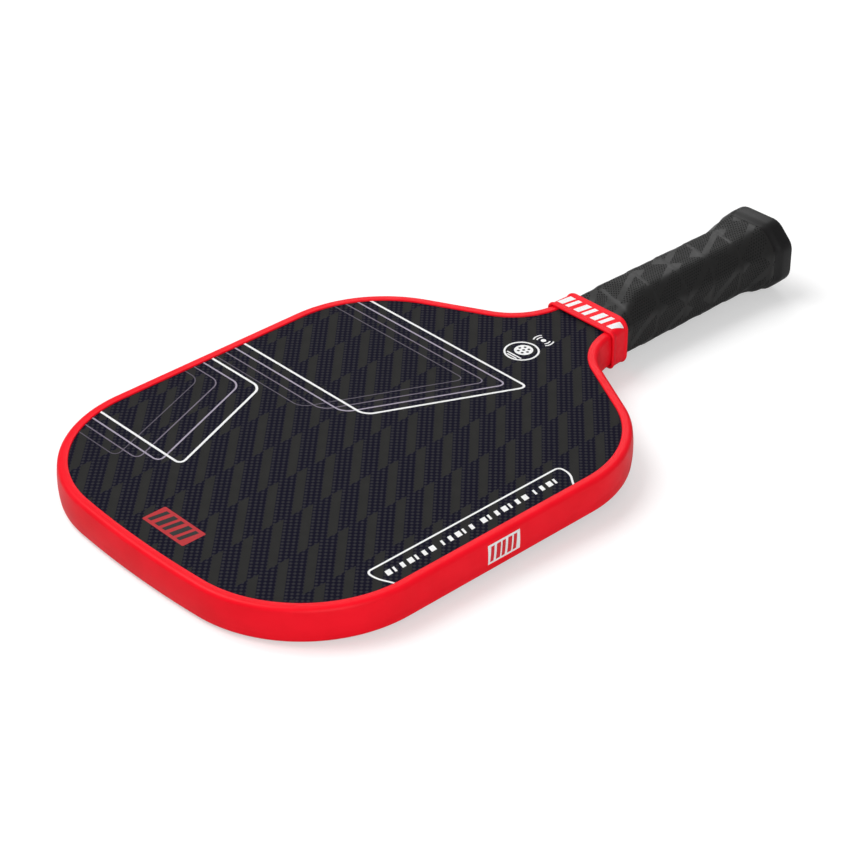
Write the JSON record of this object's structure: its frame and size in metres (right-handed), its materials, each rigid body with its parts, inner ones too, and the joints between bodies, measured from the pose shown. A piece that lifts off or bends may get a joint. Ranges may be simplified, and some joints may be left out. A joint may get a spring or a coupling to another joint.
{
  "type": "pickleball paddle",
  "caption": "Wide pickleball paddle with a flat honeycomb-cored head, a red edge guard and collar, and a wrapped octagonal grip with a flared butt.",
  "frame": {"origin": "middle of the bounding box in X and Y, at the height of the lowest point, which is the underside of the butt", "axes": "+Y along the paddle from the head to the butt, +X across the head, +Z out of the front face"},
  "size_m": [0.203, 0.4064, 0.0384],
  "materials": {
    "core_polymer": "matte",
    "foam": "matte",
    "adhesive": "matte",
    "carbon_skin": "matte",
    "tag_film": "matte",
    "tag_metal": "satin",
    "tag_silicon": "gloss",
    "guard_plastic": "satin",
    "pallet_foam": "matte",
    "grip_skin": "matte",
    "tape": "satin",
    "collar_rubber": "satin",
    "cap_plastic": "satin",
    "badge_plastic": "satin"
  },
  "bodies": {
    "root": {"honeycomb_core": "core_polymer", "edge_foam": "foam", "front_film": "adhesive", "back_film": "adhesive", "front_skin": "carbon_skin", "back_skin": "carbon_skin", "tag_carrier": "tag_film", "tag_coil": "tag_metal", "tag_chip": "tag_silicon", "edge_guard": "guard_plastic", "front_pallet": "pallet_foam", "back_pallet": "pallet_foam", "grip_wrap": "grip_skin", "finishing_tape": "tape", "collar": "collar_rubber", "butt_cap": "cap_plastic", "butt_badge": "badge_plastic"}
  },
  "joints": []
}
